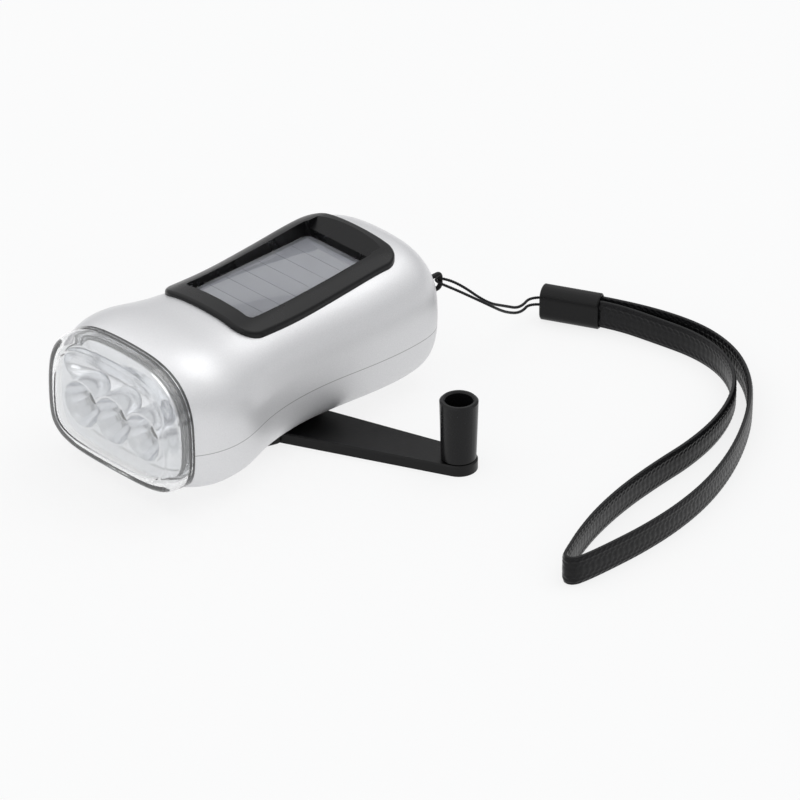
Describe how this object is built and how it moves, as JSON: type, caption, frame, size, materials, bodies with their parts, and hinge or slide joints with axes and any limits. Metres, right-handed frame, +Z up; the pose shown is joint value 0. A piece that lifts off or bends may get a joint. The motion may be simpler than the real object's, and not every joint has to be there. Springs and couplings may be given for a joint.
{
  "type": "hand crank flashlight",
  "caption": "Pocket flashlight with a folding, turning crank that drives a small generator, a solar panel on top, a clear lens over round lamps, and a looped wrist strap.",
  "frame": {"origin": "on the crank's turning axis, at the underside of the crank arm that the torch lies on", "axes": "+Z up through the solar panel, lens looks towards -Y, +Y along the body to the strap, crank swung out to +X"},
  "size_m": [0.1458, 0.1579, 0.0418],
  "materials": {
    "silver_paint": "satin silver paint over moulded plastic",
    "black_gloss": "glossy black plastic",
    "black_plastic": "satin black plastic",
    "clear": "clear polycarbonate",
    "mirror_coat": "vacuum metallised plastic",
    "led_epoxy": "clear epoxy",
    "board": "green circuit board",
    "cell_blue": "grey-blue solar cell",
    "panel_base": "black carrier",
    "steel": "plated steel",
    "gear_white": "natural acetal",
    "magnet": "sintered magnet",
    "copper": "enamelled copper winding",
    "frame_plastic": "moulded frame",
    "cell_metal": "button cell case",
    "sleeve_green": "shrink sleeve",
    "component_black": "moulded components",
    "cord_black": "twisted black thread",
    "strap_black": "woven black tape"
  },
  "bodies": {
    "body": {"lower_shell": "silver_paint", "upper_shell": "silver_paint", "case_screws": "steel", "lens_cover": "clear", "reflector": "mirror_coat", "led_left": "led_epoxy", "led_centre": "led_epoxy", "led_right": "led_epoxy", "led_board": "board", "led_screws": "steel", "solar_bezel": "black_gloss", "solar_substrate": "panel_base", "solar_cells": "cell_blue", "solar_coat": "clear", "stator": "steel", "stator_coil": "copper", "gear_axles": "steel", "gear_frame": "frame_plastic", "gear_cover": "frame_plastic", "gear_screws": "steel", "battery_cells": "cell_metal", "battery_sleeve": "sleeve_green", "battery_cradle": "frame_plastic", "main_board": "board", "board_screws": "steel", "board_capacitor": "component_black", "board_chips": "component_black", "switch_body": "component_black", "strap_eye": "black_plastic", "strap_thread": "cord_black", "strap_bead": "black_plastic", "wrist_strap": "strap_black"},
    "hub": {"crank_hub": "black_plastic", "shaft_screw": "steel", "crank_shaft": "steel", "drive_gear": "gear_white", "hinge_pin": "steel"},
    "arm": {"crank_arm": "black_plastic", "knob_pin": "steel"},
    "knob": {"crank_knob": "black_gloss"},
    "idler_1": {"idler_gear_1": "gear_white"},
    "idler_2": {"idler_gear_2": "gear_white"},
    "rotor": {"rotor_pinion": "gear_white", "magnet_rotor": "magnet", "rotor_shaft": "steel"},
    "switch": {"switch_slider": "black_plastic"}
  },
  "joints": [
    {"name": "crank_turn", "type": "hinge", "parent": "body", "child": "hub", "pos_m": [0, 0, 0], "axis": [0, 0, 1], "continuous": true},
    {"name": "crank_fold", "type": "hinge", "parent": "hub", "child": "arm", "pos_m": [-0.00839, -0.00327, 0.0015], "axis": [-0.3633, 0.9317, 0], "range_deg": [0, 180]},
    {"name": "knob_spin", "type": "hinge", "parent": "arm", "child": "knob", "pos_m": [0.0559, 0.0218, 0.0033], "axis": [0, 0, 1], "continuous": true},
    {"name": "idler_1_spin", "type": "hinge", "parent": "body", "child": "idler_1", "pos_m": [-0.00684, 0.01879, 0.0113], "axis": [0, 0, 1], "continuous": true},
    {"name": "idler_2_spin", "type": "hinge", "parent": "body", "child": "idler_2", "pos_m": [0.00542, 0.02908, 0.0144], "axis": [0, 0, 1], "continuous": true},
    {"name": "rotor_spin", "type": "hinge", "parent": "body", "child": "rotor", "pos_m": [-0.00384, 0.04011, 0.0175], "axis": [0, 0, 1], "continuous": true},
    {"name": "switch_slide", "type": "slide", "parent": "body", "child": "switch", "axis": [0, 1, 0], "range_m": [0, 0.003]}
  ],
  "couplings": [
    {"joint": "idler_1_spin", "follows": "crank_turn", "ratio": -4},
    {"joint": "idler_2_spin", "follows": "crank_turn", "ratio": 12},
    {"joint": "rotor_spin", "follows": "crank_turn", "ratio": -31.2}
  ]
}
